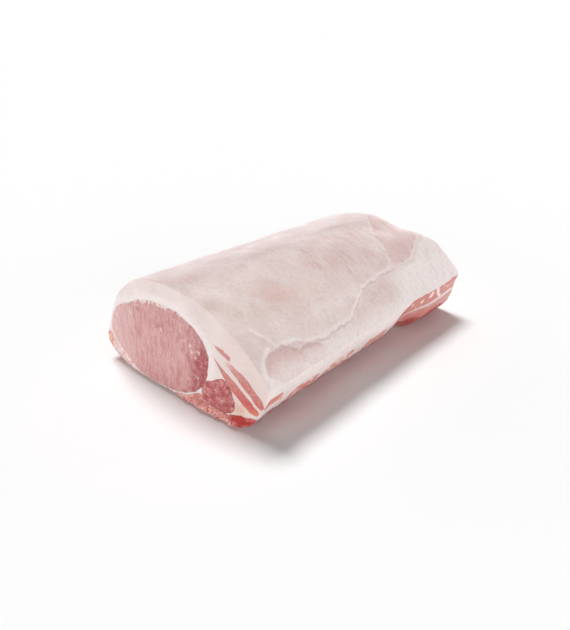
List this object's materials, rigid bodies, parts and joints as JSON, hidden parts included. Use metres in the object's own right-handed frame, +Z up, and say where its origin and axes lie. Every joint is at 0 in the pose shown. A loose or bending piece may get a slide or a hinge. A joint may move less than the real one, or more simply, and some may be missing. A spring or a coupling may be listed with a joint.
{
  "type": "pork loin",
  "caption": "Boneless raw pork loin joint, cut across at both ends, with a pale fat cover over a large eye muscle, a darker side muscle, lean streaks and a ragged lean underside.",
  "frame": {"origin": "on the surface that the loin rests on, below the middle of its bounding box", "axes": "+Z up; +Y along the loin from the near cut to the far cut; +X from the backbone side to the belly side"},
  "size_m": [0.1702, 0.254, 0.0829],
  "materials": {
    "fat": "moist pale pink-white back fat with a soft sheen",
    "eye_lean": "moist pale pink lean, cut across the grain",
    "dark_lean": "moist dark pink-red lean, coarse grain",
    "streak_lean": "moist salmon-pink lean streak between layers of fat",
    "underside_lean": "moist ragged red lean with bits of fat and membrane"
  },
  "bodies": {
    "root": {"back_fat": "fat", "eye_muscle": "eye_lean", "side_muscle": "dark_lean", "outer_streak": "streak_lean", "inner_streak": "streak_lean", "streak_wisp": "streak_lean", "underside_lean": "underside_lean"}
  },
  "joints": []
}
